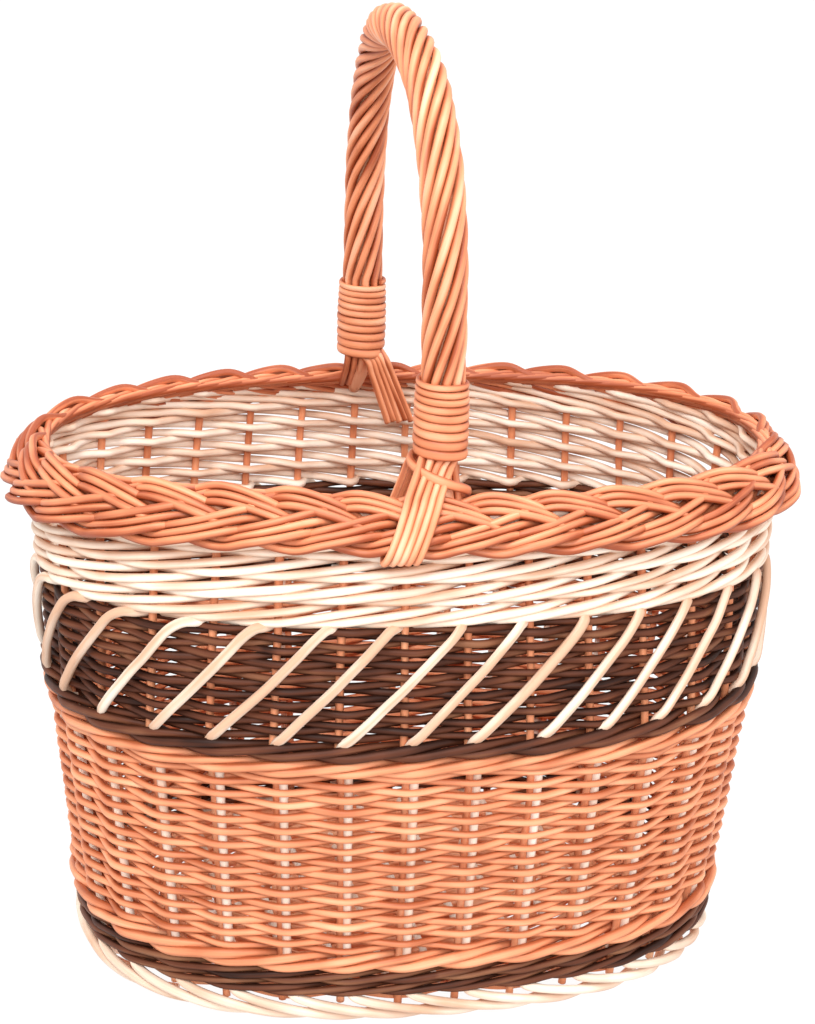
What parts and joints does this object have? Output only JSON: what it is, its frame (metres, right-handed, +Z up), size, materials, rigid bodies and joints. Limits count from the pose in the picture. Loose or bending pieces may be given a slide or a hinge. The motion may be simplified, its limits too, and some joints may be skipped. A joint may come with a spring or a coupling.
{
  "type": "mushroom foraging basket",
  "caption": "Oval woven willow foraging basket with a plaited border, a dark and cream patterned band and one fixed roped carrying handle.",
  "frame": {"origin": "centre of the bounding box at its lowest face, on the surface the basket stands on", "axes": "+Z up, X along the long axis of the oval, Y across it in the plane of the handle"},
  "size_m": [0.4372, 0.3072, 0.52],
  "materials": {
    "willow_buff": "satin, boiled willow",
    "willow_cream": "matte, peeled white willow",
    "willow_brown": "satin, dark stained willow",
    "willow_handle": "satin, boiled willow"
  },
  "bodies": {
    "root": {"foot_border": "willow_cream", "base_slath": "willow_cream", "base_weave": "willow_buff", "stake_01": "willow_buff", "stake_02": "willow_buff", "stake_03": "willow_buff", "stake_04": "willow_buff", "stake_05": "willow_buff", "stake_06": "willow_buff", "stake_07": "willow_buff", "stake_08": "willow_buff", "stake_09": "willow_buff", "stake_10": "willow_buff", "stake_11": "willow_buff", "stake_12": "willow_buff", "stake_13": "willow_buff", "stake_14": "willow_buff", "stake_15": "willow_buff", "stake_16": "willow_buff", "stake_17": "willow_buff", "stake_18": "willow_buff", "stake_19": "willow_buff", "stake_20": "willow_buff", "stake_21": "willow_buff", "stake_22": "willow_buff", "stake_23": "willow_buff", "stake_24": "willow_buff", "stake_25": "willow_buff", "stake_26": "willow_buff", "stake_27": "willow_buff", "stake_28": "willow_buff", "stake_29": "willow_buff", "stake_30": "willow_buff", "stake_31": "willow_buff", "stake_32": "willow_buff", "bottom_wale": "willow_brown", "lower_wale": "willow_buff", "main_randing": "willow_buff", "upper_wale": "willow_buff", "mid_wale": "willow_brown", "dark_randing": "willow_brown", "cream_band": "willow_cream", "border_strand_01": "willow_handle", "border_strand_02": "willow_handle", "border_strand_03": "willow_handle", "border_strand_04": "willow_handle", "border_strand_05": "willow_handle", "handle_bow": "willow_handle", "handle_rod_01": "willow_handle", "handle_rod_02": "willow_handle", "handle_rod_03": "willow_handle", "handle_rod_04": "willow_handle", "handle_rod_05": "willow_handle", "handle_rod_06": "willow_handle", "handle_rod_07": "willow_handle", "handle_rod_08": "willow_handle", "handle_rod_09": "willow_handle", "handle_rod_10": "willow_handle", "whipping_front": "willow_handle", "whipping_back": "willow_handle"}
  },
  "joints": []
}
